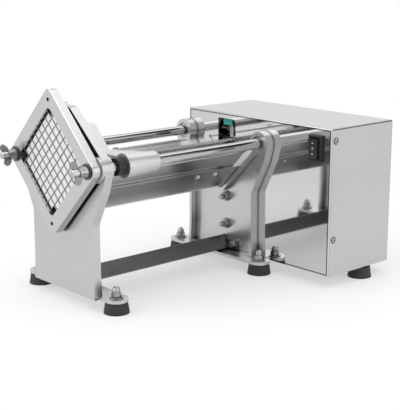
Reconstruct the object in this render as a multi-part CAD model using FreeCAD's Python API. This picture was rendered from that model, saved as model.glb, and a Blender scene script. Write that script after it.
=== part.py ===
import FreeCAD, Part
import math
import os

# Electric french fry cutter. A motor in the steel housing turns a pinion that drives a toothed rack.
# The rack pushes a peg head along a V trough, so that a potato goes through the crossed blades in front.
# Millimetres. +Z up, -Y towards the blades, +X towards the side with the switch. Origin: bottom centre.

V = FreeCAD.Vector

# Driving sizes of the whole machine
ram_height = 158.0            # ram axis above the floor
housing_width = 240.0
housing_depth = 108.0
housing_above_ram = 28.0      # from the ram axis up to the top of the housing
housing_far_reach = 69.6      # from the ram axis to the housing's far side
cutter_length = 261.0         # from the housing front to the face of the blade holder
sheet = 1.5
seat_gap = 0.3                # left between neighbours that only lie against each other
running_gap = 0.05            # radial play of a turning fit

# Feet
foot_height = 13.0
foot_top_radius = 12.3
foot_base_radius = 14.3
foot_half_span = 72.5
foot_bolt_radius = 3.0
ear_radius = 13.0
flange = 3.5                  # thickness of the castings' base flanges
rear_foot_inset = 9.6
rear_foot_setback = 68.5

# Castings
casting_depth = 10.0
casting_web = 3.5
casting_rim = 4.0
leg_half_width = 56.5
boss_radius = 14.0
boss_recess_radius = 9.5
boss_recess = 1.5
front_boss_stand = 3.0        # the front bosses stand forward to carry the blade holder

# Guide rods
rod_half_span = 67.6
rod_radius = 6.0
rod_socket = 9.0
stud_radius = 4.0

# Blade holder and blades
cells = 9
cell_pitch = 9.6
blade = 0.6
blade_depth = 6.5
blade_setback = 3.5
holder_margin = 15.3          # from the window to the edge of the holder
holder_thickness = 10.0
holder_corner = 9.0
window_corner = 6.0
frame_ring_width = 2.5
frame_ring_depth = 4.5
holder_screw_offset = 68.0

# Ram
peg_gap = 0.5                 # from a peg to the blades on each side
head_plate = 12.0
head_side_gap = 2.0           # from the ram head to the walls of the trough
sleeve_length = 43.0
sleeve_front_radius = 13.4
sleeve_back_radius = 11.0
rod_play = 0.06
arm_height = 12.0
arm_drop = 3.0                # from the ram axis down to the arms' lower face
bush_head_radius = 9.5
bush_head_length = 11.0
bush_reveal = 10.7            # bare rod between the casting and the bush heads
arm_thickness = 12.0
arm_root = 38.0               # depth of the arms where they meet the sleeves

# Rack and pinion
tooth_module = 1.5
pinion_teeth = 16
pressure_angle = math.radians(20.0)
backlash = 0.3
rack_width = 12.0
rack_height = 14.0
rack_pitch_drop = 6.5         # from the ram axis down to the rack's pitch line
rack_rear_reach = 31.5        # behind the housing front when the ram is forward
pinion_setback = 20.5
pinion_width = 11.0
shaft_radius = 4.0

# Trough
trough_sheet = 1.5
trough_radius = 8.0
trough_lip = 4.0
trough_top_drop = 9.5         # from the ram axis down to the lips
cradle_sheet = 2.0
cradle_half_width = 34.0
stop_setback = 104.0          # from the front casting back to the clip on the far lip

# Tie bar between the castings, an angle with its ridge up
tie_leg = 20.0
tie_thickness = 2.0
tie_ridge_height = 33.5

# Places that follow from the driving sizes
window_side = cells * cell_pitch
window_half = window_side / math.sqrt(2.0)
holder_side = window_side + 2 * holder_margin
panel_y = 0.0
holder_front = panel_y - cutter_length
holder_back = holder_front + holder_thickness
front_casting_front = holder_back + front_boss_stand + seat_gap
front_casting_back = front_casting_front + casting_depth
frame_front = panel_y - seat_gap - casting_depth - 2.0
frame_back = panel_y - seat_gap
foot_top = foot_height
housing_bottom = foot_top + 1.0
housing_top = ram_height + housing_above_ram
leg_rise = ram_height - foot_top
front_foot_y = front_casting_front + 18.0
frame_foot_y = panel_y - 13.5
rear_foot_y = panel_y + rear_foot_setback
near_side = housing_width - housing_far_reach
far_side = -housing_far_reach
housing_back = panel_y + housing_depth
rack_pitch_z = ram_height - rack_pitch_drop
pinion_radius = tooth_module * pinion_teeth / 2.0
pinion_y = panel_y + pinion_setback
pinion_z = rack_pitch_z + pinion_radius
tooth_pitch = math.pi * tooth_module
rack_top = rack_pitch_z + tooth_module
rack_bottom = rack_top - rack_height
stud_reach = 19.0
stud_tip = holder_front - stud_reach
blade_front = holder_front + blade_setback
blade_back = blade_front + blade_depth
peg_front = blade_front + 0.8
head_front = front_casting_front + 4.0
head_back = head_front + head_plate
sleeve_front = front_casting_back + 1.5 + bush_reveal + bush_head_length
sleeve_back = sleeve_front + sleeve_length
trough_floor = ram_height - window_half - 0.4
trough_top = ram_height - trough_top_drop

# The origin is moved to the middle of the outline on the floor
rear_fitting_stand = 2.0      # grommet and inlet rims behind the housing
side_screw_head = 1.8
foot_edge = foot_half_span + foot_base_radius
mid_x = (near_side + side_screw_head - foot_edge) / 2.0
mid_y = (stud_tip + housing_back + rear_fitting_stand) / 2.0
to_origin = V(-mid_x, -mid_y, 0)


def box(x0, x1, y0, y1, z0, z1):
    return Part.makeBox(x1 - x0, y1 - y0, z1 - z0, V(x0, y0, z0))


def rod_y(x, z, radius, y0, y1):
    return Part.makeCylinder(radius, y1 - y0, V(x, y0, z), V(0, 1, 0))


def rod_x(y, z, radius, x0, x1):
    return Part.makeCylinder(radius, x1 - x0, V(x0, y, z), V(1, 0, 0))


def rod_z(x, y, radius, z0, z1):
    return Part.makeCylinder(radius, z1 - z0, V(x, y, z0), V(0, 0, 1))


def rounded_outline(points):
    """Closed wire through (x, z, corner radius) points in the XZ plane, with tangent arcs at the corners."""
    edges = []
    ends = []
    count = len(points)
    for i in range(count):
        px, pz, radius = points[i]
        corner = V(px, 0, pz)
        before = V(points[i - 1][0], 0, points[i - 1][1])
        after = V(points[(i + 1) % count][0], 0, points[(i + 1) % count][1])
        into = (before - corner).normalize()
        out = (after - corner).normalize()
        if radius <= 0:
            ends.append((corner, corner, None))
            continue
        half = into.getAngle(out) / 2.0
        reach = radius / math.tan(half)
        bisector = (into + out).normalize()
        centre = corner + bisector * (radius / math.sin(half))
        middle = centre - bisector * radius
        ends.append((corner + into * reach, corner + out * reach, middle))
    for i in range(count):
        start, stop, middle = ends[i]
        if middle is not None:
            edges.append(Part.Arc(start, middle, stop).toShape())
        following = ends[(i + 1) % count][0]
        if (following - stop).Length > 1e-6:
            edges.append(Part.LineSegment(stop, following).toShape())
    return Part.Wire(edges)


def slab(outline, y0, y1):
    """Solid between y0 and y1 with an XZ outline."""
    face = Part.Face(outline)
    solid = face.extrude(V(0, y1 - y0, 0))
    solid.translate(V(0, y0, 0))
    return solid


def mirror_x(points):
    """Whole symmetric outline from its right half, which is listed from the bottom upwards."""
    left = [(-x, z, r) for x, z, r in reversed(points) if x > 0]
    return points + left


def diamond(side, corner, y0, y1):
    """Square plate standing on one corner, on the ram axis."""
    half = side / math.sqrt(2.0)
    points = [
        (0, ram_height - half, corner),
        (half, ram_height, corner),
        (0, ram_height + half, corner),
        (-half, ram_height, corner),
    ]
    return slab(rounded_outline(points), y0, y1)


def both_sides(make):
    return [make(-1), make(1)]


def export(name, shape):
    solids = shape if isinstance(shape, list) else [shape]
    placed = []
    for solid in solids:
        moved = solid.copy()
        moved.translate(to_origin)
        placed.append(moved)
    whole = placed[0] if len(placed) == 1 else Part.makeCompound(placed)
    whole.exportStep("parts/" + name + ".step")


def fuse(first, *others):
    result = first.fuse(list(others))
    return result.removeSplitter()


# Castings

def leg_outline(top):
    """Right half of a casting's outline, from the floor flange up to the rod boss, then the given top."""
    lower = [
        (leg_half_width + 1.5, foot_top, 0),
        (leg_half_width, foot_top + 0.20 * leg_rise, 30),
        (leg_half_width - 0.5, foot_top + 0.57 * leg_rise, 14),
        (leg_half_width + 8.5, foot_top + 0.69 * leg_rise, 40),
        (leg_half_width + 19.5, foot_top + 0.84 * leg_rise, 30),
        (rod_half_span + boss_radius, ram_height - 4, 12),
        (rod_half_span + boss_radius - 4, ram_height + boss_radius - 4, 8),
    ]
    return lower + top


def rimmed(outline, web_y0, web_y1, rim_y0, rim_y1):
    """Thin web with a rim all round its edge."""
    inner = outline.makeOffset2D(-casting_rim, 0, False, False)
    rim = slab(outline, rim_y0, rim_y1).cut(slab(inner, rim_y0, rim_y1))
    return fuse(slab(outline, web_y0, web_y1), rim)


def base_flange(y0, y1, foot_y):
    """Floor flange with round ears over the feet."""
    plate = box(-leg_half_width - 1.5, leg_half_width + 1.5, y0, y1, foot_top, foot_top + flange)
    ears = []
    for side in (-1, 1):
        ears.append(rod_z(side * foot_half_span, foot_y, ear_radius, foot_top, foot_top + flange))
        inner = side * (leg_half_width - 10)
        outer = side * foot_half_span
        ears.append(box(min(inner, outer), max(inner, outer), foot_y - ear_radius, foot_y + ear_radius,
                        foot_top, foot_top + flange))
    whole = fuse(plate, *ears)
    for side in (-1, 1):
        whole = whole.cut(rod_z(side * foot_half_span, foot_y, foot_bolt_radius + 0.2, 0, 60))
    return whole


def front_casting():
    top = [
        (54, ram_height + 31, 10),
        (20, ram_height + 61, 12),
    ]
    outline = rounded_outline(mirror_x(leg_outline(top)))
    front, back = front_casting_front, front_casting_back
    body = rimmed(outline, front, front + casting_web, front, back)
    collar = diamond(window_side + 2 * casting_rim + 1.6, window_corner + casting_rim, front, back)
    body = fuse(body, collar, base_flange(front, front_foot_y + ear_radius, front_foot_y))
    for side in (-1, 1):
        x = side * rod_half_span
        body = fuse(body, rod_y(x, ram_height, boss_radius, front - front_boss_stand, back + 1.5))
        body = body.cut(rod_y(x, ram_height, stud_radius + seat_gap, front - 20, back + 20))
        body = body.cut(rod_y(x, ram_height, rod_radius + running_gap, back + 1.5 - rod_socket, back + 20))
    window = diamond(window_side + 1.6, window_corner, front - 20, back + 5)
    return body.cut(window)


def middle_frame():
    notch = cradle_floor - (cradle_sheet + seat_gap) * math.sqrt(2.0)
    arm_in = trough_top - 2 - notch
    top = [
        (rod_half_span - boss_radius + 4, ram_height + boss_radius - 2, 8),
        (arm_in, trough_top - 2, 3),
        (0, notch, 9),
    ]
    half = leg_outline(top)
    left = [(-x, z, r) for x, z, r in reversed(half) if x > 0]
    outline = rounded_outline(half + left)
    body = rimmed(outline, frame_back - casting_web, frame_back, frame_front, frame_back)
    body = fuse(body, base_flange(frame_foot_y - ear_radius, frame_back, frame_foot_y))
    for side in (-1, 1):
        x = side * rod_half_span
        body = fuse(body, rod_y(x, ram_height, boss_radius, frame_front, frame_back))
        body = body.cut(rod_y(x, ram_height, boss_recess_radius, frame_front - 1, frame_front + boss_recess))
        body = body.cut(rod_y(x, ram_height, rod_radius + running_gap, frame_front - 1, frame_back - 2.0))
        hole = rod_y(side * 60, foot_top + 109.5, 3.0, frame_front - 5, frame_back + 5)
        body = body.cut(hole)
    for z in frame_bolt_heights:
        body = body.cut(rod_y(frame_bolt_x, z, frame_bolt_radius + 0.2, frame_front - 5, frame_back + 5))
    body = body.cut(rod_y(tie_bolt_x, tie_bolt_z, tie_bolt_radius + 0.2, frame_front - 5, frame_back + 5))
    return body


frame_bolt_x = 5.0
frame_bolt_heights = (foot_top + 35.0, ram_height - 75.0)
frame_bolt_radius = 3.0
tie_bolt_x = 20.0
tie_bolt_z = foot_top + 10.5
tie_bolt_radius = 2.5


# Fasteners

def hexagon(across, x, z, y0, y1, turn=0.0):
    """Hexagonal prism along Y."""
    radius = across / math.sqrt(3.0)
    points = []
    for i in range(7):
        angle = turn + i * math.pi / 3.0
        points.append(V(x + radius * math.cos(angle), y0, z + radius * math.sin(angle)))
    return Part.Face(Part.makePolygon(points)).extrude(V(0, y1 - y0, 0))


def plain_nut(x, y, z):
    """Hexagon nut on an upright bolt."""
    radius = 10.0 / math.sqrt(3.0)
    points = []
    for i in range(7):
        angle = i * math.pi / 3.0
        points.append(V(x + radius * math.cos(angle), y + radius * math.sin(angle), z))
    prism = Part.Face(Part.makePolygon(points)).extrude(V(0, 0, 5.0))
    return prism.cut(rod_z(x, y, foot_bolt_radius, z - 1, z + 9))


def acorn_nut(x, y, z):
    """Domed cap nut standing on z."""
    across, hex_height, dome = 9.5, 5.0, 4.2
    radius = across / math.sqrt(3.0)
    points = []
    for i in range(7):
        angle = i * math.pi / 3.0
        points.append(V(x + radius * math.cos(angle), y + radius * math.sin(angle), z))
    prism = Part.Face(Part.makePolygon(points)).extrude(V(0, 0, hex_height))
    neck = rod_z(x, y, dome, z + hex_height, z + hex_height + 3.0)
    shoulder = Part.makeCone(dome, dome * 0.75, 2.2, V(x, y, z + hex_height + 3.0), V(0, 0, 1))
    cap = Part.makeCone(dome * 0.75, dome * 0.3, 1.4, V(x, y, z + hex_height + 5.2), V(0, 0, 1))
    return fuse(prism, neck, shoulder, cap).cut(rod_z(x, y, foot_bolt_radius, z - 1, z + hex_height + 1.5))


def foot_places():
    places = []
    for side in (-1, 1):
        places.append((side * foot_half_span, front_foot_y))
    for side in (-1, 1):
        places.append((side * foot_half_span, frame_foot_y))
    places.append((far_side + rear_foot_inset, rear_foot_y))
    places.append((near_side - rear_foot_inset, rear_foot_y))
    return places


def rubber_foot(x, y):
    return Part.makeCone(foot_base_radius, foot_top_radius, foot_height, V(x, y, 0), V(0, 0, 1))


def foot_bolt(x, y, top):
    """Stud that stands up from the rubber."""
    return rod_z(x, y, foot_bolt_radius, foot_height, top)


def washer_z(x, y, z, outer, hole, thick):
    return rod_z(x, y, outer, z, z + thick).cut(rod_z(x, y, hole, z - 1, z + thick + 1))


def washer_y(x, z, y, outer, hole, thick):
    return rod_y(x, z, outer, y, y + thick).cut(rod_y(x, z, hole, y - 1, y + thick + 1))


foot_washer = 1.2
nut_seat = foot_top + flange + foot_washer
castings_feet = foot_places()[:4]
housing_feet = foot_places()[4:]


# Guide rods with their threaded front ends

def guide_rod(side):
    x = side * rod_half_span
    start = front_casting_back + 1.5 - rod_socket
    body = rod_y(x, ram_height, rod_radius, start, frame_back - 2.0)
    stud = rod_y(x, ram_height, stud_radius, stud_tip, start)
    tip = stud.Edges[0]
    for edge in stud.Edges:
        if edge.Curve.TypeId == "Part::GeomCircle" and edge.CenterOfMass.y < stud_tip + 0.1:
            tip = edge
    stud = stud.makeChamfer(0.8, [tip])
    return fuse(body, stud)


# Blade holder

def blade_holder():
    plate = diamond(holder_side, holder_corner, holder_front, holder_back)
    front_edges = []
    for edge in plate.Edges:
        box_of = edge.BoundBox
        if abs(box_of.YMax - holder_front) < 1e-4:
            front_edges.append(edge)
    plate = plate.makeChamfer(0.8, front_edges)
    plate = plate.cut(diamond(window_side, window_corner, holder_front - 5, holder_back + 5))
    ring_side = window_side + 2 * frame_ring_width + 0.4
    plate = plate.cut(diamond(ring_side, window_corner, holder_back - frame_ring_depth, holder_back + 5))
    for side in (-1, 1):
        hole = rod_y(side * rod_half_span, ram_height, stud_radius + seat_gap, holder_front - 5, holder_back + 5)
        plate = plate.cut(hole)
        z = ram_height + side * holder_screw_offset
        plate = plate.cut(rod_y(0, z, 2.2, holder_front - 5, holder_back + 5))
    return plate


def blade_frame():
    outer = diamond(window_side + 2 * frame_ring_width, window_corner, holder_back - frame_ring_depth, holder_back)
    return outer.cut(diamond(window_side, window_corner, holder_front, holder_back + 5))


def blade_bar(offset, slot_from_front):
    """One blade, flat, with half depth slots where the other set crosses it."""
    y0, y1 = blade_front, blade_back
    reach = window_side / 2.0 - 0.1
    corner_cut = 0.0
    if abs(offset) > reach - window_corner:
        corner_cut = window_corner
    bar = box(-reach + corner_cut, reach - corner_cut, y0, y1, offset - blade / 2, offset + blade / 2)
    middle = (y0 + y1) / 2.0
    slot = blade / 2 + 0.1
    for i in range(1, cells):
        at = -window_side / 2.0 + i * cell_pitch
        if slot_from_front:
            bar = bar.cut(box(at - slot, at + slot, y0 - 1, middle + 0.1, offset - 2, offset + 2))
        else:
            bar = bar.cut(box(at - slot, at + slot, middle - 0.1, y1 + 1, offset - 2, offset + 2))
    return bar


def blade_set(turn, slot_from_front):
    blades = []
    for i in range(1, cells):
        bar = blade_bar(-window_side / 2.0 + i * cell_pitch, slot_from_front)
        bar.rotate(V(0, 0, 0), V(0, 1, 0), turn)
        bar.translate(V(0, 0, ram_height))
        blades.append(bar)
    return blades


def wing_nut(side):
    """Nut with two wings, turning on the rod's threaded end."""
    x = side * rod_half_span
    seat = holder_front - washer_thickness - seat_gap
    hub = Part.makeCone(6.5, 5.0, 9.0, V(x, seat, ram_height), V(0, -1, 0))
    wings = []
    for way in (-1, 1):
        points = [
            (x + way * 3.0, ram_height - 2.0, 0),
            (x + way * 8.0, ram_height - 4.0, 2.0),
            (x + way * 15.0, ram_height - 3.5, 3.0),
            (x + way * 15.0, ram_height + 3.5, 3.0),
            (x + way * 8.0, ram_height + 4.0, 2.0),
            (x + way * 3.0, ram_height + 2.0, 0),
        ]
        outline = rounded_outline(points)
        wing = slab(outline, -1.25, 1.25)
        wing.rotate(V(x, 0, ram_height), V(1, 0, 0), 90)
        wing.translate(V(0, seat - 7.5, 0))
        wing.rotate(V(x + way * 3.0, seat - 6.0, ram_height), V(0, 0, 1), way * -38)
        wings.append(wing)
    nut = fuse(hub, *wings)
    nut = nut.cut(rod_y(x, ram_height, stud_radius + running_gap, seat - 40, seat + 5))
    nut.rotate(V(x, 0, ram_height), V(0, 1, 0), wing_turn)
    return nut


washer_thickness = 1.5
wing_turn = 62.0


def holder_washer(side):
    y = holder_front - washer_thickness
    return washer_y(side * rod_half_span, ram_height, y, 8.5, stud_radius + seat_gap, washer_thickness)


# Ram

def ram_head():
    side = window_side - 2 * head_side_gap
    plate = diamond(side, window_corner + 2, head_front, head_back)
    hub = diamond(side - 26, window_corner, head_back, sleeve_front + arm_thickness)
    z0 = ram_height - arm_drop
    end = sleeve_front + arm_thickness
    shape = [
        V(-rod_half_span, sleeve_front, z0), V(rod_half_span, sleeve_front, z0),
        V(rod_half_span, sleeve_front + arm_root, z0), V(rod_half_span - sleeve_front_radius, sleeve_front + arm_root, z0),
        V(rack_width, end, z0), V(-rack_width, end, z0),
        V(-rod_half_span + sleeve_front_radius, sleeve_front + arm_root, z0),
        V(-rod_half_span, sleeve_front + arm_root, z0), V(-rod_half_span, sleeve_front, z0),
    ]
    arm = Part.Face(Part.makePolygon(shape)).extrude(V(0, 0, arm_height))
    body = fuse(plate, hub, arm)
    for way in (-1, 1):
        x = way * rod_half_span
        cone = Part.makeCone(sleeve_front_radius, sleeve_back_radius, sleeve_length,
                             V(x, sleeve_front, ram_height), V(0, 1, 0))
        body = fuse(body, cone)
        body = body.cut(rod_y(x, ram_height, bush_radius, sleeve_front - 5, sleeve_back + 5))
    socket = box(-rack_width / 2, rack_width / 2, head_back + 6, sleeve_back, rack_bottom, rack_top)
    return body.cut(socket)


bush_radius = rod_radius + rod_play + 1.4


def ram_bush(side):
    """Sliding bush with a thick head in front of the sleeve."""
    x = side * rod_half_span
    bore = rod_radius + rod_play
    tube = washer_y(x, ram_height, sleeve_front, bush_radius, bore, sleeve_length)
    head = washer_y(x, ram_height, sleeve_front - bush_head_length, bush_head_radius, bore, bush_head_length)
    return fuse(tube, head)


def ram_pegs():
    """Square pegs, one for each cell but the four at the corners, fixed on the head."""
    size = cell_pitch - blade - 2 * peg_gap
    pegs = []
    for row in range(cells):
        for column in range(cells):
            if row in (0, cells - 1) and column in (0, cells - 1):
                continue
            x = (column - (cells - 1) / 2.0) * cell_pitch
            z = (row - (cells - 1) / 2.0) * cell_pitch
            x0 = x - size / 2
            x1 = x + size / 2
            z0 = z - size / 2
            z1 = z + size / 2
            edge = window_side / 2.0 - head_side_gap
            x0, x1 = max(x0, -edge), min(x1, edge)
            z0, z1 = max(z0, -edge), min(z1, edge)
            peg = box(x0, x1, peg_front, head_front, z0, z1)
            pegs.append(peg)
    for peg in pegs:
        peg.rotate(V(0, 0, 0), V(0, 1, 0), 45)
        peg.translate(V(0, 0, ram_height))
    return pegs


def rack():
    """Toothed bar. A gap between two teeth lies under the pinion when the ram is forward."""
    start = head_back + 6
    stop = panel_y + rack_rear_reach
    tip = (tooth_pitch - backlash) / 2 - 2 * tooth_module * math.tan(pressure_angle)
    root_z = rack_pitch_z - 1.25 * tooth_module
    root = (tooth_pitch - backlash) / 2 + 2 * 1.25 * tooth_module * math.tan(pressure_angle)
    tip = (tooth_pitch - backlash) / 2 - 2 * tooth_module * math.tan(pressure_angle)
    first = sleeve_back - 4
    count = int((stop - first) / tooth_pitch)
    lowest = -int((pinion_y - first) / tooth_pitch)
    points = [V(0, start, rack_bottom), V(0, start, rack_top)]
    points.append(V(0, first - tooth_pitch, rack_top))
    points.append(V(0, first - tooth_pitch, root_z))
    for i in range(count):
        centre = pinion_y + (lowest + i + 0.5) * tooth_pitch
        if centre + root / 2 > stop - 0.5:
            break
        points.append(V(0, centre - root / 2, root_z))
        points.append(V(0, centre - tip / 2, rack_top))
        points.append(V(0, centre + tip / 2, rack_top))
        points.append(V(0, centre + root / 2, root_z))
    points.append(V(0, stop, root_z))
    points.append(V(0, stop, rack_bottom))
    points.append(points[0])
    bar = Part.Face(Part.makePolygon(points)).extrude(V(rack_width, 0, 0))
    bar.translate(V(-rack_width / 2, 0, 0))
    return bar


def pinion():
    """Spur gear with involute flanks; one tooth points straight down at rest."""
    base = pinion_radius * math.cos(pressure_angle)
    tip = pinion_radius + tooth_module
    root = pinion_radius - 1.25 * tooth_module
    half_tooth = (tooth_pitch - backlash) / 4.0 / pinion_radius * 1.0
    involute_at_pitch = math.tan(pressure_angle) - pressure_angle
    steps = 4
    flank = [(root, half_tooth + involute_at_pitch)]
    for i in range(steps + 1):
        radius = base + (tip - base) * i / steps
        roll = math.sqrt((radius / base) ** 2 - 1.0)
        turn = roll - math.atan(roll)
        flank.append((radius, half_tooth + involute_at_pitch - turn))
    points = []
    for tooth in range(pinion_teeth):
        centre = -math.pi / 2 + tooth * 2 * math.pi / pinion_teeth
        for radius, angle in flank:
            points.append((radius, centre - angle))
        for radius, angle in reversed(flank):
            points.append((radius, centre + angle))
    corners = []
    for radius, angle in points:
        corners.append(V(0, pinion_y + radius * math.cos(angle), pinion_z + radius * math.sin(angle)))
    corners.append(corners[0])
    gear = Part.Face(Part.makePolygon(corners)).extrude(V(pinion_width, 0, 0))
    gear.translate(V(-pinion_width / 2, 0, 0))
    return gear.cut(rod_x(pinion_y, pinion_z, shaft_radius + running_gap, -50, 50))


# Trough and its cradle

def v_sheet(floor, half_width, radius, thick, y0, y1):
    """V of sheet metal with a round bottom. floor is the height of the sharp inner corner."""
    outer = radius + thick
    drop = thick * math.sqrt(2.0)
    rise = half_width
    inner = [(-half_width, floor + rise, 0), (0, floor, radius), (half_width, floor + rise, 0)]
    points = inner + [
        (half_width + drop / 2, floor + rise - drop / 2, 0),
        (0, floor - drop, outer),
        (-half_width - drop / 2, floor + rise - drop / 2, 0),
    ]
    return slab(rounded_outline(points), y0, y1)


trough_half_width = trough_top - trough_floor
trough_front = front_casting_back + 2.0
trough_back = frame_front - 8.0
cradle_floor = trough_floor - (trough_sheet + seat_gap) * math.sqrt(2.0)


def trough():
    body = v_sheet(trough_floor, trough_half_width, trough_radius, trough_sheet, trough_front, trough_back)
    for side in (-1, 1):
        x = side * (trough_half_width + trough_sheet * 0.7)
        lip = rod_y(x, trough_top, trough_lip / 2, trough_front, trough_back)
        body = fuse(body, lip)
    return body


def cradle():
    start = front_casting_back + seat_gap
    body = v_sheet(cradle_floor, cradle_half_width, trough_radius + trough_sheet + seat_gap, cradle_sheet,
                   start, frame_back - casting_web - seat_gap)
    return body


def cradle_screw(side, y):
    """Round headed screw on the outside of the cradle, square to its slope."""
    reach = cradle_half_width - 7.0
    offset = cradle_sheet * math.sqrt(2.0)
    at = V(side * (reach + offset / 2), y, cradle_floor + reach - offset / 2)
    out = V(side, 0, -1).normalize()
    return Part.makeCone(3.6, 2.2, 2.4, at, out)


def lip_stop():
    """Black clip on the outside of the trough's far lip, clear of the passing ram."""
    x = -(trough_half_width + trough_sheet * 0.7)
    y = front_casting_back + stop_setback
    block = box(x - 3.4, x + 0.6, y, y + 6.0, trough_top - 7.0, trough_top + 2.4)
    block = block.cut(rod_y(x, trough_top, trough_lip / 2 + 0.02, y - 1, y + 7))
    wall = v_sheet(trough_floor, trough_half_width + 2, trough_radius, trough_sheet + 0.1, y - 1, y + 7)
    inside = box(x - 1, x + 9, y - 1, y + 7, trough_top - 9, trough_top + 1)
    return block.cut(wall).cut(inside)


# Tie bar

def tie_bar():
    drop = tie_leg / math.sqrt(2.0)
    thick = tie_thickness * math.sqrt(2.0)
    ridge = tie_ridge_height
    points = [
        (0, ridge, 1.5),
        (drop, ridge - drop, 0),
        (drop - thick / 2, ridge - drop - thick / 2, 0),
        (0, ridge - thick, 0),
        (-drop + thick / 2, ridge - drop - thick / 2, 0),
        (-drop, ridge - drop, 0),
    ]
    start = front_casting_front + casting_web
    stop = frame_back - casting_web
    angle = slab(rounded_outline(points), start, stop)
    tab_back = box(4, tie_bolt_x + 6, stop - tie_thickness, stop, foot_top + flange + 1.2, tie_bolt_z + 5.5)
    tab_front = box(4, tie_bolt_x + 6, start, start + tie_thickness, foot_top + flange + 1.2, tie_bolt_z + 5.5)
    body = fuse(angle, tab_back, tab_front)
    return body.cut(rod_y(tie_bolt_x, tie_bolt_z, tie_bolt_radius + 0.2, stop - 5, stop + 5))


def tie_bolt():
    """Bolt with a washer that holds the tie bar to the middle frame. Its front tab is welded."""
    stop = frame_back - casting_web - tie_thickness
    return fuse(hexagon(8.0, tie_bolt_x, tie_bolt_z, stop - 5.2, stop - 1.2),
                rod_y(tie_bolt_x, tie_bolt_z, 5.5, stop - 1.2, stop),
                rod_y(tie_bolt_x, tie_bolt_z, tie_bolt_radius, stop - 7.0, frame_back - 0.2))


def frame_bolts():
    """Bolts that hold the middle frame to the housing front, with nuts and washers outside."""
    bolts = []
    face = frame_back - casting_web
    for z in frame_bolt_heights:
        shank = rod_y(frame_bolt_x, z, frame_bolt_radius, face - 12.0, panel_y + sheet)
        nut = hexagon(9.5, frame_bolt_x, z, face - 6.6, face - 1.8)
        washer = rod_y(frame_bolt_x, z, 6.4, face - 1.8, face)
        inner_head = hexagon(9.5, frame_bolt_x, z, panel_y + sheet, panel_y + sheet + 4.0)
        bolts.append(fuse(shank, nut, washer, inner_head))
    return bolts


# Housing

hole_half_width = 15.5
hole_below_top = 7.0          # from the housing's top down to the opening
hole_top = housing_top - hole_below_top
hole_bottom = rack_bottom - 6.0
switch_x = near_side - 22.0
switch_below_top = 23.5       # from the housing's top down to the switch's middle
switch_z = housing_top - switch_below_top
switch_width = 19.0
switch_height = 29.5
side_screw_heights = (foot_top + 44.0, housing_top - 14.0)
rear_lip = 12.0
rear_screw_inset = 6.0
shell_front = panel_y + sheet + seat_gap


def front_panel():
    """Polished front with flanges folded back inside the shell."""
    inset = sheet + seat_gap
    outer = box(far_side, near_side, panel_y, panel_y + sheet, housing_bottom, housing_top)
    edges = []
    for edge in outer.Edges:
        bb = edge.BoundBox
        if abs(bb.YMax - panel_y) < 1e-4:
            edges.append(edge)
    outer = outer.makeFillet(1.2, edges)
    low, high = housing_bottom + inset, housing_top - inset
    outline = rounded_outline([
        (far_side + inset, low, 2.5), (near_side - inset, low, 2.5),
        (near_side - inset, high, 2.5), (far_side + inset, high, 2.5),
    ])
    block = slab(outline, panel_y + sheet, panel_y + 14)
    inner = box(far_side + inset + sheet, near_side - inset - sheet, panel_y + sheet, panel_y + 20,
                housing_bottom + inset + sheet, housing_top - inset - sheet)
    body = fuse(outer, block.cut(inner))
    hole = [
        (-hole_half_width, hole_bottom, 4), (hole_half_width, hole_bottom, 4),
        (hole_half_width, hole_top, 6), (-hole_half_width, hole_top, 2),
    ]
    body = body.cut(slab(rounded_outline(hole), panel_y - 5, panel_y + 5))
    body = body.cut(box(switch_x - switch_width / 2 + 1.5, switch_x + switch_width / 2 - 1.5, panel_y - 5,
                        panel_y + 5, switch_z - switch_height / 2 + 1.5, switch_z + switch_height / 2 - 1.5))
    for z in side_screw_heights:
        body = body.cut(rod_x(panel_y + 8, z, 2.05, far_side - 5, near_side + 5))
    for z in frame_bolt_heights:
        body = body.cut(rod_y(frame_bolt_x, z, frame_bolt_radius + 0.2, panel_y - 5, panel_y + 5))
    return body


def housing_shell():
    """Top and two sides, folded from one sheet."""
    back = housing_back
    points = [
        (far_side, housing_bottom, 0), (far_side, housing_top, 3.0),
        (near_side, housing_top, 3.0), (near_side, housing_bottom, 0),
        (near_side - sheet, housing_bottom, 0), (near_side - sheet, housing_top - sheet, 1.5),
        (far_side + sheet, housing_top - sheet, 1.5), (far_side + sheet, housing_bottom, 0),
    ]
    body = slab(rounded_outline(points), shell_front, back)
    for z in side_screw_heights:
        body = body.cut(rod_x(panel_y + 8, z, 2.2, far_side - 5, near_side + 5))
        body = body.cut(rod_x(housing_back - rear_screw_inset, z, 2.2, far_side - 5, far_side + 5))
    return body


def base_pan():
    inset = sheet + seat_gap
    front = shell_front + 13.0
    back = housing_back - rear_lip - seat_gap
    plate = box(far_side + inset, near_side - inset, front, back, housing_bottom, housing_bottom + sheet)
    sides = []
    for x in (far_side + inset, near_side - inset - sheet):
        sides.append(box(x, x + sheet, front, back, housing_bottom, housing_bottom + 12))
    body = fuse(plate, *sides)
    for x, y in housing_feet:
        body = body.cut(rod_z(x, y, foot_bolt_radius + 0.2, 0, 60))
    return body


def rear_cover():
    """Back wall, a tray that sits inside the shell, with the slot where the rack comes out."""
    inset = sheet + seat_gap
    back = housing_back
    front = back - rear_lip
    low, high = housing_bottom, housing_top - inset
    outline = rounded_outline([
        (far_side + inset, low, 0), (near_side - inset, low, 0),
        (near_side - inset, high, 2.5), (far_side + inset, high, 2.5),
    ])
    outer = slab(outline, front, back)
    inner = box(far_side + inset + sheet, near_side - inset - sheet, front - 1, back - sheet, low - 1, high - sheet)
    body = outer.cut(inner)
    body = body.cut(box(-rack_width / 2 - 3, rack_width / 2 + 3, back - 5, back + 5, rack_bottom - 3, rack_top + 3))
    body = body.cut(box(inlet_x - 13.5, inlet_x + 13.5, back - 5, back + 5, inlet_z - 10, inlet_z + 10))
    for z in side_screw_heights:
        body = body.cut(rod_x(back - rear_screw_inset, z, 2.05, far_side - 5, far_side + 5))
    return body


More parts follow.
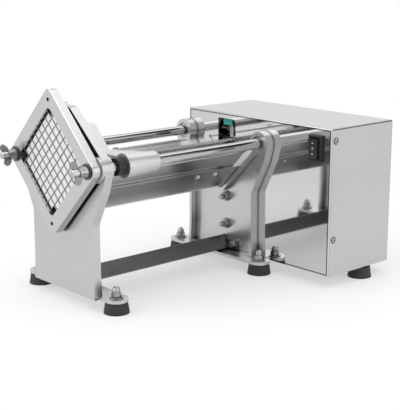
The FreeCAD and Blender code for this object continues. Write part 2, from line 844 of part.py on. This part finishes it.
inlet_x = near_side - 45.0
inlet_z = foot_top + 30.0


def rack_grommet():
    """Plastic frame in the rear slot."""
    back = housing_back
    outer = box(-rack_width / 2 - 2.8, rack_width / 2 + 2.8, back - sheet - 1.5, back + rear_fitting_stand,
                rack_bottom - 2.8, rack_top + 2.8)
    rim = box(-rack_width / 2 - 5.5, rack_width / 2 + 5.5, back, back + rear_fitting_stand, rack_bottom - 5.5, rack_top + 5.5)
    hole = box(-rack_width / 2 - 0.6, rack_width / 2 + 0.6, back - 10, back + 10, rack_bottom - 0.6, rack_top + 0.6)
    return fuse(outer, rim).cut(hole)


def power_inlet():
    """Three pin appliance inlet with a recess, fixed in the rear cover."""
    back = housing_back
    body = box(inlet_x - 13.3, inlet_x + 13.3, back - 18, back, inlet_z - 9.8, inlet_z + 9.8)
    rim = box(inlet_x - 16, inlet_x + 16, back, back + 1.6, inlet_z - 12, inlet_z + 12)
    recess = box(inlet_x - 11.5, inlet_x + 11.5, back - 15, back + 5, inlet_z - 8, inlet_z + 8)
    pins = []
    for x in (-7, 0, 7):
        pins.append(box(inlet_x + x - 1, inlet_x + x + 1, back - 16, back - 3, inlet_z - 2, inlet_z + 2))
    return fuse(fuse(body, rim).cut(recess), *pins)


def side_screw(side, y, z):
    x = near_side if side > 0 else far_side
    out = V(side, 0, 0)
    head = Part.makeCone(3.6, 2.6, side_screw_head, V(x, y, z), out)
    shank = Part.makeCylinder(2.0, 4.0, V(x, y, z), out * -1)
    return fuse(head, shank)


# Switch on the housing front

switch_stand = 4.0


def switch_body():
    w, h = switch_width / 2, switch_height / 2
    rim = box(switch_x - w, switch_x + w, panel_y - switch_stand, panel_y, switch_z - h, switch_z + h)
    edges = []
    for edge in rim.Edges:
        if abs(edge.BoundBox.YMax - (panel_y - switch_stand)) < 1e-4:
            edges.append(edge)
    rim = rim.makeFillet(1.0, edges)
    can = box(switch_x - w + 1.7, switch_x + w - 1.7, panel_y, panel_y + 22, switch_z - h + 1.7, switch_z + h - 1.7)
    well = box(switch_x - w + 2.2, switch_x + w - 2.2, panel_y - 10, panel_y + 12, switch_z - h + 2.6, switch_z + h - 2.6)
    body = fuse(rim, can).cut(well)
    for side in (-1, 1):
        tab = switch_x + side * (w - 2.2)
        x0 = min(tab, tab - side * 1.0)
        pin = rod_x(rocker_axis_y, switch_z, 1.5, x0, x0 + 1.0)
        body = fuse(body, pin)
    return body


rocker_axis_y = panel_y - 0.5
rocker_width = 12.4


def rocker():
    """Three position rocker with a ridge in the middle of each half."""
    reach = switch_height / 2 - 3.8
    points = []
    front = rocker_axis_y - 8.5
    for y, z in ((front + 0.6, -reach), (front + 2.2, 0), (front + 0.6, reach)):
        points.append((y, z))
    a = V(0, points[0][0], switch_z + points[0][1])
    b = V(0, points[1][0], switch_z + points[1][1])
    c = V(0, points[2][0], switch_z + points[2][1])
    curve = Part.Arc(a, b, c).toShape()
    back = rocker_axis_y + 3.5
    d = V(0, back, switch_z + 5.0)
    e = V(0, back, switch_z - 5.0)
    lower = V(0, rocker_axis_y + 0.5, switch_z - reach + 0.5)
    upper = V(0, rocker_axis_y + 0.5, switch_z + reach - 0.5)
    path = [c, upper, d, e, lower, a]
    edges = [curve]
    for i in range(len(path) - 1):
        edges.append(Part.LineSegment(path[i], path[i + 1]).toShape())
    solid = Part.Face(Part.Wire(edges)).extrude(V(rocker_width, 0, 0))
    solid.translate(V(switch_x - rocker_width / 2, 0, 0))
    return solid.cut(rod_x(rocker_axis_y, switch_z, 1.5 + running_gap, switch_x - 20, switch_x + 20))


# Drive inside the housing

bracket_left = -25.0
bracket_right = 17.0
bracket_plate = 6.0
bearing_radius = 11.0
bracket_floor = housing_bottom + sheet


def drive_bracket():
    plates = []
    y0 = panel_y + 16.0
    for x in (bracket_left, bracket_right):
        plates.append(box(x, x + bracket_plate, y0, y0 + 40, bracket_floor, pinion_z + 16))
    floor_plate = box(bracket_left, bracket_right + bracket_plate, y0, y0 + 40, bracket_floor, bracket_floor + 5)
    body = fuse(floor_plate, *plates)
    body = body.cut(rod_x(pinion_y, pinion_z, bearing_radius + 0.02, bracket_left - 5, bracket_right + 20))
    return body


def bearing(x):
    ring = rod_x(pinion_y, pinion_z, bearing_radius, x, x + bracket_plate)
    return ring.cut(rod_x(pinion_y, pinion_z, shaft_radius + running_gap, x - 1, x + bracket_plate + 1))


def output_shaft():
    return rod_x(pinion_y, pinion_z, shaft_radius, bracket_left - 3, gearbox_left + 12)


gearbox_left = bracket_right + bracket_plate
gearbox_length = 46.0
motor_end_plate = 4.0
motor_radius = 27.0
motor_end_gap = 15.4          # from the motor's end plate to the housing's near side
motor_length = near_side - motor_end_gap - motor_end_plate - gearbox_left - gearbox_length
motor_y = panel_y + 50.0
capacitor_radius = 12.0
capacitor_x = near_side - 32.4
saddle_width = 24.0
saddle_run = capacitor_x - capacitor_radius - gearbox_left - gearbox_length    # free floor under the motor
saddle_start = gearbox_left + gearbox_length + (saddle_run - saddle_width) * 20 / 33
motor_z = pinion_z - 10.0


def gearbox():
    x0 = gearbox_left
    x1 = gearbox_left + gearbox_length
    body = box(x0, x1, panel_y + 16.0, panel_y + 82.0, motor_z - 30, pinion_z + 16)
    edges = []
    for edge in body.Edges:
        direction = edge.Vertexes[1].Point - edge.Vertexes[0].Point
        if abs(direction.x) > 1:
            edges.append(edge)
    body = body.makeFillet(5.0, edges)
    return body.cut(rod_x(pinion_y, pinion_z, shaft_radius + running_gap, x0 - 1, x0 + 13))


def motor():
    x0 = gearbox_left + gearbox_length
    can = rod_x(motor_y, motor_z, motor_radius, x0, x0 + motor_length)
    x1 = x0 + motor_length
    end = Part.makeCone(motor_radius, motor_radius - 4, motor_end_plate, V(x1, motor_y, motor_z), V(1, 0, 0))
    hub = rod_x(motor_y, motor_z, 8, x1 + motor_end_plate, x1 + 2 * motor_end_plate)
    return fuse(can, end, hub)


def motor_saddle():
    x0 = saddle_start
    block = box(x0, x0 + saddle_width, motor_y - 18, motor_y + 18, bracket_floor, motor_z - 12)
    return block.cut(rod_x(motor_y, motor_z, motor_radius + 0.02, x0 - 5, x0 + saddle_width + 5))


def rack_guide():
    """Slide under the rack, opposite the pinion."""
    z_top = rack_bottom - 0.3
    y0 = pinion_y - 2.0
    post = box(-8.0, 8.0, y0, y0 + 22, bracket_floor + 5, z_top - 6)
    pad = box(-9.5, 9.5, y0, y0 + 22, z_top - 6, z_top)
    cheeks = []
    for side in (-1, 1):
        x = side * (rack_width / 2 + 0.3)
        cheeks.append(box(min(x, x + side * 3), max(x, x + side * 3), y0, y0 + 22, z_top, z_top + 6))
    return fuse(post, pad, *cheeks)


def guide_board():
    """Small circuit board that shows in the top of the opening, on a spacer behind the panel."""
    y0 = panel_y + sheet + 1.5
    board = box(-9.0, 6.5, y0, y0 + 1.6, hole_top - 8.5, hole_top + 3.0)
    spacer = box(-4.0, 2.0, panel_y + sheet, y0, hole_top + 0.5, hole_top + 2.8)
    return fuse(board, spacer)


def board_strut():
    """Metal strip that hangs behind the board and steadies it."""
    y0 = panel_y + sheet + 3.1
    return box(1.0, 7.0, y0, y0 + 1.0, rack_top + 3.0, hole_top + 2.5)


def control_board():
    x0, y0 = 20.0, panel_y + 71.0
    z = bracket_floor + 8
    board = box(x0, x0 + 82, y0, y0 + 24 - 6, z, z + 1.6)
    parts = []
    for i in range(2):
        for j in range(2):
            parts.append(box(x0 + 3 + 72 * i, x0 + 7 + 72 * i, y0 + 2 + 10 * j, y0 + 6 + 10 * j, bracket_floor, z))
    parts.append(box(x0 + 10, x0 + 30, y0 + 3, y0 + 15, z + 1.6, z + 17))
    parts.append(box(x0 + 36, x0 + 48, y0 + 3, y0 + 15, z + 1.6, z + 22))
    parts.append(box(x0 + 54, x0 + 76, y0 + 3, y0 + 14, z + 1.6, z + 12))
    return fuse(board, *parts)


def capacitor():
    return rod_z(capacitor_x, motor_y, capacitor_radius, bracket_floor, bracket_floor + 45)


def main():
    os.makedirs("parts", exist_ok=True)
    export("front_casting", front_casting())
    export("middle_frame", middle_frame())
    export("guide_rods", both_sides(guide_rod))
    export("blade_holder", blade_holder())
    export("blade_frame", blade_frame())
    export("rising_blades", blade_set(-45, True))
    export("falling_blades", blade_set(45, False))
    export("holder_washers", both_sides(holder_washer))
    export("wing_nut_far", wing_nut(-1))
    export("wing_nut_near", wing_nut(1))
    export("ram_head", ram_head())
    export("ram_pegs", ram_pegs())
    export("ram_bushes", both_sides(ram_bush))
    export("rack", rack())
    export("trough", trough())
    export("trough_cradle", cradle())
    screws = []
    for side in (-1, 1):
        for y in (frame_front - 61, frame_front - 33):
            screws.append(cradle_screw(side, y))
    export("cradle_screws", screws)
    export("lip_stop", lip_stop())
    export("tie_bar", tie_bar())
    export("tie_bolt", tie_bolt())
    export("frame_bolts", frame_bolts())
    export("front_panel", front_panel())
    export("housing_shell", housing_shell())
    export("base_pan", base_pan())
    export("rear_cover", rear_cover())
    export("rack_grommet", rack_grommet())
    export("power_inlet", power_inlet())
    side_screws = []
    for z in side_screw_heights:
        for y in (panel_y + 8, housing_back - rear_screw_inset):
            side_screws.append(side_screw(-1, y, z))
        side_screws.append(side_screw(1, panel_y + 8, z))
    export("shell_screws", side_screws)
    export("switch_body", switch_body())
    export("switch_rocker", rocker())
    export("rubber_feet", [rubber_foot(x, y) for x, y in foot_places()])
    bolts = [foot_bolt(x, y, nut_seat + 6) for x, y in castings_feet]
    bolts += [foot_bolt(x, y, housing_bottom + sheet + 6) for x, y in housing_feet]
    export("foot_bolts", bolts)
    washers = [washer_z(x, y, foot_top + flange, 7.5, foot_bolt_radius + 0.1, foot_washer) for x, y in castings_feet]
    export("foot_washers", washers)
    export("acorn_nuts", [acorn_nut(x, y, nut_seat) for x, y in castings_feet])
    spacers = [washer_z(x, y, foot_top, 8.0, foot_bolt_radius + 0.1, housing_bottom - foot_top) for x, y in housing_feet]
    export("foot_spacers", spacers)
    export("rear_foot_nuts", [plain_nut(x, y, bracket_floor) for x, y in housing_feet])
    export("pinion", pinion())
    export("output_shaft", output_shaft())
    export("drive_bracket", drive_bracket())
    export("shaft_bearings", [bearing(bracket_left), bearing(bracket_right)])
    export("gearbox", gearbox())
    export("motor", motor())
    export("motor_saddle", motor_saddle())
    export("rack_guide", rack_guide())
    export("guide_board", guide_board())
    export("board_strut", board_strut())
    export("control_board", control_board())
    export("capacitor", capacitor())
    print("offset", mid_x, mid_y)


main()
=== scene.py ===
import math

import bpy
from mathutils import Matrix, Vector


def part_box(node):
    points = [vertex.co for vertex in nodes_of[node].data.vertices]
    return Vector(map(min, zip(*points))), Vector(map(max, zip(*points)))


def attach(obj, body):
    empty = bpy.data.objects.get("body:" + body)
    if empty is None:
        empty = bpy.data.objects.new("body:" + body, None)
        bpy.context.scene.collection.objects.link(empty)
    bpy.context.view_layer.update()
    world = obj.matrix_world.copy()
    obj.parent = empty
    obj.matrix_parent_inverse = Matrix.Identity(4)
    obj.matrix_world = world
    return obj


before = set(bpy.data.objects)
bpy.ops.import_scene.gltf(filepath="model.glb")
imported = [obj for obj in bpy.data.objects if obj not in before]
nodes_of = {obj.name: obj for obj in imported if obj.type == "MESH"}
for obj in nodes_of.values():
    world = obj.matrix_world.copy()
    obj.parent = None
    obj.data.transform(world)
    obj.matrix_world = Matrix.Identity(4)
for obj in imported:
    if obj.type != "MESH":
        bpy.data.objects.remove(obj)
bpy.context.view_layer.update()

# Looks, light and camera for the electric french fry cutter. Metres, in the part's own frame.


# Materials

NOISE_RANGE = (0.3, 0.7)         # where most of a noise's values lie
FINE_SHARE, BROAD_SHARE = 0.7, 0.3
FINE_DETAIL, BROAD_DETAIL = 4.0, 3.0
WEAR = (9.0, 9.0, 9.0)           # broad wear, per metre
CORNER_REACH = 0.005             # painted shade darkens metal where its neighbours are closer than this
CORNER_SHADE = 0.75              # and by this share at most
CORNER_RANGE = (0.15, 0.85)      # open share of the sky from darkest to plain
CORNER_SAMPLES = 8


def new_material(name):
    """Empty node material with a Principled shader on its output."""
    material = bpy.data.materials.new(name)
    material.use_nodes = True
    tree = material.node_tree
    tree.nodes.clear()
    output = tree.nodes.new("ShaderNodeOutputMaterial")
    shader = tree.nodes.new("ShaderNodeBsdfPrincipled")
    tree.links.new(shader.outputs["BSDF"], output.inputs["Surface"])
    return material, tree, shader


def noise(tree, scale, detail):
    """Noise in object coordinates; scale is per metre along X, Y and Z, so that grain can run one way."""
    place = tree.nodes.new("ShaderNodeTexCoord")
    stretch = tree.nodes.new("ShaderNodeMapping")
    stretch.inputs["Scale"].default_value = scale
    grain = tree.nodes.new("ShaderNodeTexNoise")
    grain.inputs["Scale"].default_value = 1.0
    grain.inputs["Detail"].default_value = detail
    grain.inputs["Roughness"].default_value = 0.5
    tree.links.new(place.outputs["Object"], stretch.inputs["Vector"])
    tree.links.new(stretch.outputs["Vector"], grain.inputs["Vector"])
    return grain.outputs["Fac"]


def spread(tree, value, low, high):
    """The noise's usual range spread over low to high."""
    scale = tree.nodes.new("ShaderNodeMapRange")
    scale.inputs["From Min"].default_value = NOISE_RANGE[0]
    scale.inputs["From Max"].default_value = NOISE_RANGE[1]
    scale.inputs["To Min"].default_value = low
    scale.inputs["To Max"].default_value = high
    tree.links.new(value, scale.inputs["Value"])
    return scale.outputs["Result"]


def tint(tree, value, dark, light):
    """Colour between dark and light, by the value."""
    ramp = tree.nodes.new("ShaderNodeValToRGB")
    for element, position, colour in zip(ramp.color_ramp.elements, NOISE_RANGE, (dark, light)):
        element.position = position
        element.color = (*colour, 1.0)
    tree.links.new(value, ramp.inputs["Fac"])
    return ramp.outputs["Color"]


def bump(tree, value, shader, height):
    """Relief of the given height in metres."""
    relief = tree.nodes.new("ShaderNodeBump")
    relief.inputs["Strength"].default_value = 1.0
    relief.inputs["Distance"].default_value = height
    tree.links.new(value, relief.inputs["Height"])
    tree.links.new(relief.outputs["Normal"], shader.inputs["Normal"])


def painted_corner_shade(tree, colour):
    """Colour darkened by painted shade in corners and seams, where neighbours are close."""
    open_sky = tree.nodes.new("ShaderNodeAmbientOcclusion")
    open_sky.samples = CORNER_SAMPLES
    open_sky.inputs["Distance"].default_value = CORNER_REACH
    depth = tree.nodes.new("ShaderNodeMapRange")
    depth.inputs["From Min"].default_value = CORNER_RANGE[0]
    depth.inputs["From Max"].default_value = CORNER_RANGE[1]
    depth.inputs["To Min"].default_value = 1.0 - CORNER_SHADE
    depth.inputs["To Max"].default_value = 1.0
    tree.links.new(open_sky.outputs["AO"], depth.inputs["Value"])
    shaded = tree.nodes.new("ShaderNodeVectorMath")
    shaded.operation = "SCALE"
    tree.links.new(colour, shaded.inputs["Vector"])
    tree.links.new(depth.outputs["Result"], shaded.inputs["Scale"])
    return shaded.outputs["Vector"]


def surface(name, dark, light, rough, grain, metallic=0.0, relief=0.0):
    """Material whose colour and gloss vary with a fine grain and a broad, faint wear; metal also gets painted
    shade in its corners.
    """
    material, tree, shader = new_material(name)
    fine = noise(tree, grain, FINE_DETAIL)
    broad = noise(tree, WEAR, BROAD_DETAIL)
    both = tree.nodes.new("ShaderNodeMath")
    both.operation = "MULTIPLY_ADD"
    both.inputs[1].default_value = FINE_SHARE
    tree.links.new(fine, both.inputs[0])
    share = tree.nodes.new("ShaderNodeMath")
    share.operation = "MULTIPLY"
    share.inputs[1].default_value = BROAD_SHARE
    tree.links.new(broad, share.inputs[0])
    tree.links.new(share.outputs["Value"], both.inputs[2])
    mixed = both.outputs["Value"]
    colour = tint(tree, mixed, dark, light)
    # metal gets painted shade in its corners and seams
    if metallic > 0:
        colour = painted_corner_shade(tree, colour)
    tree.links.new(colour, shader.inputs["Base Color"])
    tree.links.new(spread(tree, mixed, rough[0], rough[1]), shader.inputs["Roughness"])
    shader.inputs["Metallic"].default_value = metallic
    if relief > 0:
        bump(tree, fine, shader, relief)
    return material


def grey(level, warmth=0.0):
    return (level * (1 + warmth), level, level * (1 - warmth))


# Grain, per metre along X, Y and Z

EVEN = (900.0, 900.0, 900.0)
FINE = (2500.0, 2500.0, 2500.0)
ALONG_X = (12.0, 1500.0, 1500.0)
ALONG_Y = (1500.0, 12.0, 1500.0)
ALONG_Z = (1500.0, 1500.0, 12.0)

looks = {
    "cast_metal": surface("cast_metal", grey(0.52), grey(0.56), (0.26, 0.30), ALONG_Z, 1.0, 0.0000005),
    "ram_metal": surface("ram_metal", grey(0.62), grey(0.70), (0.38, 0.48), ALONG_Y, 1.0, 0.000002),
    "nut_metal": surface("nut_metal", grey(0.22), grey(0.32), (0.10, 0.20), FINE, 1.0, 0.00001),
    "shell_steel": surface("shell_steel", grey(0.53), grey(0.58), (0.20, 0.28), ALONG_Y, 1.0, 0.000002),
    "holder_steel": surface("holder_steel", grey(0.55), grey(0.60), (0.24, 0.30), ALONG_X, 1.0, 0.000001),
    "trough_steel": surface("trough_steel", grey(0.56), grey(0.66), (0.16, 0.26), ALONG_Y, 1.0, 0.000005),
    "mirror_steel": surface("mirror_steel", grey(0.58), grey(0.62), (0.03, 0.06), ALONG_Z, 1.0),
    "ground_steel": surface("ground_steel", grey(0.46), grey(0.54), (0.06, 0.12), ALONG_X, 1.0),
    "dark_steel": surface("dark_steel", grey(0.16), grey(0.21), (0.30, 0.40), ALONG_Y, 1.0, 0.000002),
    "washer_steel": surface("washer_steel", grey(0.09), grey(0.15), (0.24, 0.34), FINE, 1.0, 0.000004),
    "blade_steel": surface("blade_steel", grey(0.55), grey(0.66), (0.18, 0.30), EVEN, 1.0),
    "zinc_steel": surface("zinc_steel", grey(0.30), grey(0.42), (0.12, 0.24), FINE, 1.0, 0.00001),
    "gear_steel": surface("gear_steel", grey(0.24), grey(0.34), (0.24, 0.36), FINE, 1.0, 0.00001),
    "rubber": surface("rubber", grey(0.010), grey(0.020), (0.50, 0.66), FINE, 0.0, 0.00003),
    "black_plastic": surface("black_plastic", grey(0.006), grey(0.010), (0.50, 0.62), FINE, 0.0, 0.00001),
    "white_plastic": surface("white_plastic", grey(0.66, 0.01), grey(0.76, 0.01), (0.35, 0.48), EVEN, 0.0,
                             0.00001),
    "board": surface("board", (0.01, 0.25, 0.24), (0.02, 0.36, 0.33), (0.30, 0.45), FINE, 0.0, 0.00001),
    "motor_paint": surface("motor_paint", grey(0.020), grey(0.035), (0.30, 0.44), EVEN, 0.0, 0.00002),
    "bracket_paint": surface("bracket_paint", grey(0.22), grey(0.28), (0.34, 0.48), EVEN, 0.0, 0.00002),
    "mark_white": surface("mark_white", grey(0.70), grey(0.80), (0.40, 0.55), FINE),
}

look_of = {
    "cast_metal": ["front_casting", "middle_frame"],
    "ram_metal": ["ram_head"],
    "nut_metal": ["wing_nut_far", "wing_nut_near"],
    "shell_steel": ["housing_shell", "rear_cover", "base_pan"],
    "holder_steel": ["blade_holder"],
    "trough_steel": ["trough", "trough_cradle"],
    "mirror_steel": ["front_panel"],
    "ground_steel": ["guide_rods", "shaft_bearings"],
    "dark_steel": ["blade_frame", "tie_bar"],
    "washer_steel": ["holder_washers"],
    "blade_steel": ["rising_blades", "falling_blades"],
    "zinc_steel": ["board_strut", "cradle_screws", "tie_bolt", "frame_bolts", "shell_screws", "foot_bolts",
                   "foot_washers", "acorn_nuts", "foot_spacers", "rear_foot_nuts"],
    "gear_steel": ["rack", "pinion", "output_shaft"],
    "rubber": ["rubber_feet"],
    "black_plastic": ["ram_bushes", "lip_stop", "rack_grommet", "power_inlet", "switch_body", "switch_rocker",
                      "capacitor"],
    "white_plastic": ["ram_pegs", "rack_guide"],
    "board": ["guide_board", "control_board"],
    "motor_paint": ["motor"],
    "bracket_paint": ["drive_bracket", "gearbox", "motor_saddle"],
}

for look, names in look_of.items():
    for name in names:
        node = nodes_of[name]
        node.data.materials.clear()
        node.data.materials.append(looks[look])


# Marks on the rocker: a ring in the middle and a dot towards each end

MARK_PROUD = 0.00012
MARK_RADIUS = 0.0011             # of the ring; the dots are smaller
DOT_SHARE = 0.7
RING_THICKNESS = 0.0002
MARK_SPACING = 0.0062


def rocker_surface(x, z):
    """Point on the front of the rocker at x, z."""
    rocker = nodes_of["switch_rocker"]
    hit, point, normal, _ = rocker.ray_cast(Vector((x, -1.0, z)), Vector((0, 1, 0)))
    if not hit:
        raise RuntimeError("no rocker at the mark")
    return point, normal


def rocker_mark(name, x, z, ring):
    point, normal = rocker_surface(x, z)
    turn = normal.to_track_quat("Z", "X").to_euler()
    if ring:
        bpy.ops.mesh.primitive_torus_add(major_radius=MARK_RADIUS, minor_radius=RING_THICKNESS,
                                         major_segments=32, minor_segments=8, location=point, rotation=turn)
    else:
        place = point + normal * MARK_PROUD / 2
        bpy.ops.mesh.primitive_cylinder_add(radius=MARK_RADIUS * DOT_SHARE, depth=MARK_PROUD, vertices=24,
                                            location=place, rotation=turn)
    mark = bpy.context.object
    mark.name = name
    mark.data.materials.append(looks["mark_white"])
    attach(mark, "rocker")


rocker_low, rocker_high = (Vector(corner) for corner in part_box("switch_rocker"))
rocker_middle = (rocker_low + rocker_high) / 2
for step in (-1, 0, 1):
    height = rocker_middle.z + step * MARK_SPACING
    rocker_mark("rocker_mark_%d" % (step + 1), rocker_middle.x, height, step == 0)


# Painted shade: a dark line for the gap around the front panel, just inside its edge, and a dark ring under
# the head and a dark socket on each near side screw

GAP_SHADE_INSET = 0.0016
GAP_SHADE_WIDTH = 0.0010
GAP_SHADE_PROUD = 0.0002
SCREW_SHADE_RING = (0.0037, 0.00035)         # radius and thickness of the painted shade ring under a screw's head
SOCKET_SHADE = (0.0012, 0.0002)        # radius and height of the painted shade in a screw's socket
HEAD_FACE = 0.00005              # depth of the outer face looked for on a screw's head
HEAD_SPREAD = 0.008              # points closer than this are on one head
FACING_X = (0, math.pi / 2, 0)

# near-black painted shade, for the gap around the front panel and under and in the screws
looks["painted_shade"] = surface("painted_shade", grey(0.012), grey(0.022), (0.50, 0.65), FINE)


def painted_shade_piece(piece, name):
    piece.name = name
    piece.data.materials.append(looks["painted_shade"])
    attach(piece, "machine")


# a thin strip of painted shade along the gap at the front panel's edge
def painted_shade(name, low_x, high_x, low_z, high_z):
    front = panel_low.y - GAP_SHADE_PROUD
    depth = 2 * GAP_SHADE_PROUD
    middle = ((low_x + high_x) / 2, front + depth / 2, (low_z + high_z) / 2)
    bpy.ops.mesh.primitive_cube_add(size=1.0, location=middle)
    strip = bpy.context.object
    strip.scale = (high_x - low_x, depth, high_z - low_z)
    painted_shade_piece(strip, name)


panel_low, panel_high = (Vector(corner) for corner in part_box("front_panel"))
shell_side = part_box("housing_shell")[1][0]
outer_x, outer_z = panel_high.x - GAP_SHADE_INSET, panel_high.z - GAP_SHADE_INSET
inner_x, inner_z = panel_low.x + GAP_SHADE_INSET, panel_low.z + GAP_SHADE_INSET
painted_shade("gap_shade_top", inner_x, outer_x, outer_z - GAP_SHADE_WIDTH, outer_z)
painted_shade("gap_shade_bottom", inner_x, outer_x, inner_z, inner_z + GAP_SHADE_WIDTH)
painted_shade("gap_shade_near", outer_x - GAP_SHADE_WIDTH, outer_x, inner_z + GAP_SHADE_WIDTH, outer_z - GAP_SHADE_WIDTH)
painted_shade("gap_shade_far", inner_x, inner_x + GAP_SHADE_WIDTH, inner_z + GAP_SHADE_WIDTH, outer_z - GAP_SHADE_WIDTH)


def screw_heads(name):
    """Middle of the outer face of each screw on the near side."""
    node = nodes_of[name]
    top = max(vertex.co.x for vertex in node.data.vertices)
    outer = [vertex.co for vertex in node.data.vertices if vertex.co.x > top - HEAD_FACE]
    groups = []
    for point in outer:
        for group in groups:
            if (group[0] - point).length < HEAD_SPREAD:
                group.append(point)
                break
        else:
            groups.append([point])
    return [sum(group, Vector()) / len(group) for group in groups]


# painted shade: a dark ring under each near side screw's head and a dark disc in its socket
for number, head in enumerate(sorted(screw_heads("shell_screws"), key=lambda point: point.z)):
    bpy.ops.mesh.primitive_torus_add(major_radius=SCREW_SHADE_RING[0], minor_radius=SCREW_SHADE_RING[1], major_segments=32,
                                     minor_segments=8, rotation=FACING_X,
                                     location=(shell_side + SCREW_SHADE_RING[1] * 0.5, head.y, head.z))
    painted_shade_piece(bpy.context.object, "screw_shade_ring_%d" % number)
    bpy.ops.mesh.primitive_cylinder_add(radius=SOCKET_SHADE[0], depth=SOCKET_SHADE[1], vertices=6,
                                        location=(head.x, head.y, head.z), rotation=FACING_X)
    painted_shade_piece(bpy.context.object, "screw_socket_shade_%d" % number)


# Floor, light and background

FLOOR_SIZE = 12.0
SHADOW_REACH = (0.24, 0.48)      # the floor turns to plain white over this distance from the middle
SHADOW_FADE = 0.45               # share of white even close to the object
SKY_STRENGTH = 0.75              # of the light that falls from the white surroundings
STUDIO_GRAIN = (3.0, 3.0, 3.0)
AIM = (0.0, 0.0, 0.1)

# Name, place, and width and height
CARDS = (
    ("card_back", (0.4, 2.2, 1.35), (3.4, 0.50)),
    ("card_left", (-2.0, -0.2, 1.0), (2.4, 0.40)),
    ("card_right", (2.0, 1.2, 0.55), (0.5, 0.45)),
    ("card_rods", (0.65, 1.35, 1.5), (0.9, 0.9)),
)

# Name, place, width and height, and power
LAMPS = (
    ("key", (-0.7, -1.5, 1.3), (1.8, 1.8), 16),
    ("top", (0.1, 0.2, 1.9), (2.4, 2.4), 12),
    ("side", (1.9, 0.5, 0.7), (1.3, 1.6), 8),
)


def seen_rays(tree):
    """1 for camera, glossy and transmission rays."""
    path = tree.nodes.new("ShaderNodeLightPath")
    value = path.outputs["Is Camera Ray"]
    for other in ("Is Glossy Ray", "Is Transmission Ray"):
        either = tree.nodes.new("ShaderNodeMath")
        either.operation = "MAXIMUM"
        tree.links.new(value, either.inputs[0])
        tree.links.new(path.outputs[other], either.inputs[1])
        value = either.outputs["Value"]
    return value


def floor_material():
    """Pale floor that keeps the shadow near the object and fades into the white background."""
    material = surface("floor", grey(0.90), grey(0.91), (0.55, 0.60), STUDIO_GRAIN)
    tree = material.node_tree
    shader = tree.nodes["Principled BSDF"]
    output = tree.nodes["Material Output"]
    place = tree.nodes.new("ShaderNodeTexCoord")
    length = tree.nodes.new("ShaderNodeVectorMath")
    length.operation = "LENGTH"
    tree.links.new(place.outputs["Object"], length.inputs[0])
    far = tree.nodes.new("ShaderNodeMapRange")
    far.interpolation_type = "SMOOTHSTEP"
    far.inputs["From Min"].default_value = SHADOW_REACH[0]
    far.inputs["From Max"].default_value = SHADOW_REACH[1]
    far.inputs["To Min"].default_value = SHADOW_FADE
    tree.links.new(length.outputs["Value"], far.inputs["Value"])
    both = tree.nodes.new("ShaderNodeMath")
    both.operation = "MULTIPLY"
    tree.links.new(far.outputs["Result"], both.inputs[0])
    tree.links.new(seen_rays(tree), both.inputs[1])
    white = tree.nodes.new("ShaderNodeEmission")
    white.inputs["Color"].default_value = (1, 1, 1, 1)
    white.inputs["Strength"].default_value = 1.0
    mix = tree.nodes.new("ShaderNodeMixShader")
    tree.links.new(both.outputs["Value"], mix.inputs["Fac"])
    tree.links.new(shader.outputs["BSDF"], mix.inputs[1])
    tree.links.new(white.outputs["Emission"], mix.inputs[2])
    tree.links.new(mix.outputs["Shader"], output.inputs["Surface"])
    return material


bpy.ops.mesh.primitive_plane_add(size=FLOOR_SIZE, location=(0, 0, 0))
floor = bpy.context.object
floor.name = "floor"
floor.data.materials.append(floor_material())

world = bpy.data.worlds.new("studio")
bpy.context.scene.world = world
world.use_nodes = True
world_tree = world.node_tree
world_tree.nodes.clear()
world_output = world_tree.nodes.new("ShaderNodeOutputWorld")
sky = world_tree.nodes.new("ShaderNodeBackground")
sky.inputs["Color"].default_value = (1, 1, 1, 1)
sky.inputs["Strength"].default_value = SKY_STRENGTH
white = world_tree.nodes.new("ShaderNodeBackground")
white.inputs["Color"].default_value = (1, 1, 1, 1)
white.inputs["Strength"].default_value = 1.0
seen_or_lit = world_tree.nodes.new("ShaderNodeMixShader")
world_tree.links.new(seen_rays(world_tree), seen_or_lit.inputs["Fac"])
world_tree.links.new(sky.outputs["Background"], seen_or_lit.inputs[1])
world_tree.links.new(white.outputs["Background"], seen_or_lit.inputs[2])
world_tree.links.new(seen_or_lit.outputs["Shader"], world_output.inputs["Surface"])


def towards(place, aim, front):
    """Turn that points the front axis of something at the aim."""
    return (Vector(aim) - Vector(place)).to_track_quat(front, "Y").to_euler()


def soft_lamp(name, place, size, power):
    lamp = bpy.data.lights.new(name, "AREA")
    lamp.shape = "RECTANGLE"
    lamp.size, lamp.size_y = size
    lamp.energy = power
    holder = bpy.data.objects.new(name, lamp)
    bpy.context.collection.objects.link(holder)
    holder.location = place
    holder.rotation_euler = towards(place, AIM, "-Z")


def dark_card(name, place, size, material):
    """Studio card that only metal and gloss show, as dark streaks."""
    bpy.ops.mesh.primitive_plane_add(size=1.0, location=place)
    card = bpy.context.object
    card.name = name
    card.scale = (size[0], size[1], 1.0)
    card.rotation_euler = towards(place, AIM, "Z")
    card.data.materials.append(material)
    card.visible_camera = False
    card.visible_diffuse = False
    card.visible_shadow = False
    card.visible_transmission = False


card_look = surface("card", grey(0.02), grey(0.03), (0.8, 0.9), STUDIO_GRAIN)
for name, place, size in CARDS:
    dark_card(name, place, size, card_look)
for name, place, size, power in LAMPS:
    soft_lamp(name, place, size, power)


# Camera

PHOTO_WIDTH = 400
FOCAL_PIXELS = 1049.03           # fitted to the photograph, as are the place and aim
SENSOR = 36.0
CAMERA_PLACE = (0.8911, -0.7934, 0.3744)
CAMERA_AIM = (-0.0427, 0.0405, 0.0766)

camera_data = bpy.data.cameras.new("camera")
camera_data.sensor_fit = "HORIZONTAL"
camera_data.sensor_width = SENSOR
camera_data.lens = SENSOR * FOCAL_PIXELS / PHOTO_WIDTH
camera = bpy.data.objects.new("camera", camera_data)
bpy.context.collection.objects.link(camera)
camera.location = CAMERA_PLACE
camera.rotation_euler = towards(CAMERA_PLACE, CAMERA_AIM, "-Z")
bpy.context.scene.camera = camera
bpy.context.scene.view_settings.view_transform = "Standard"
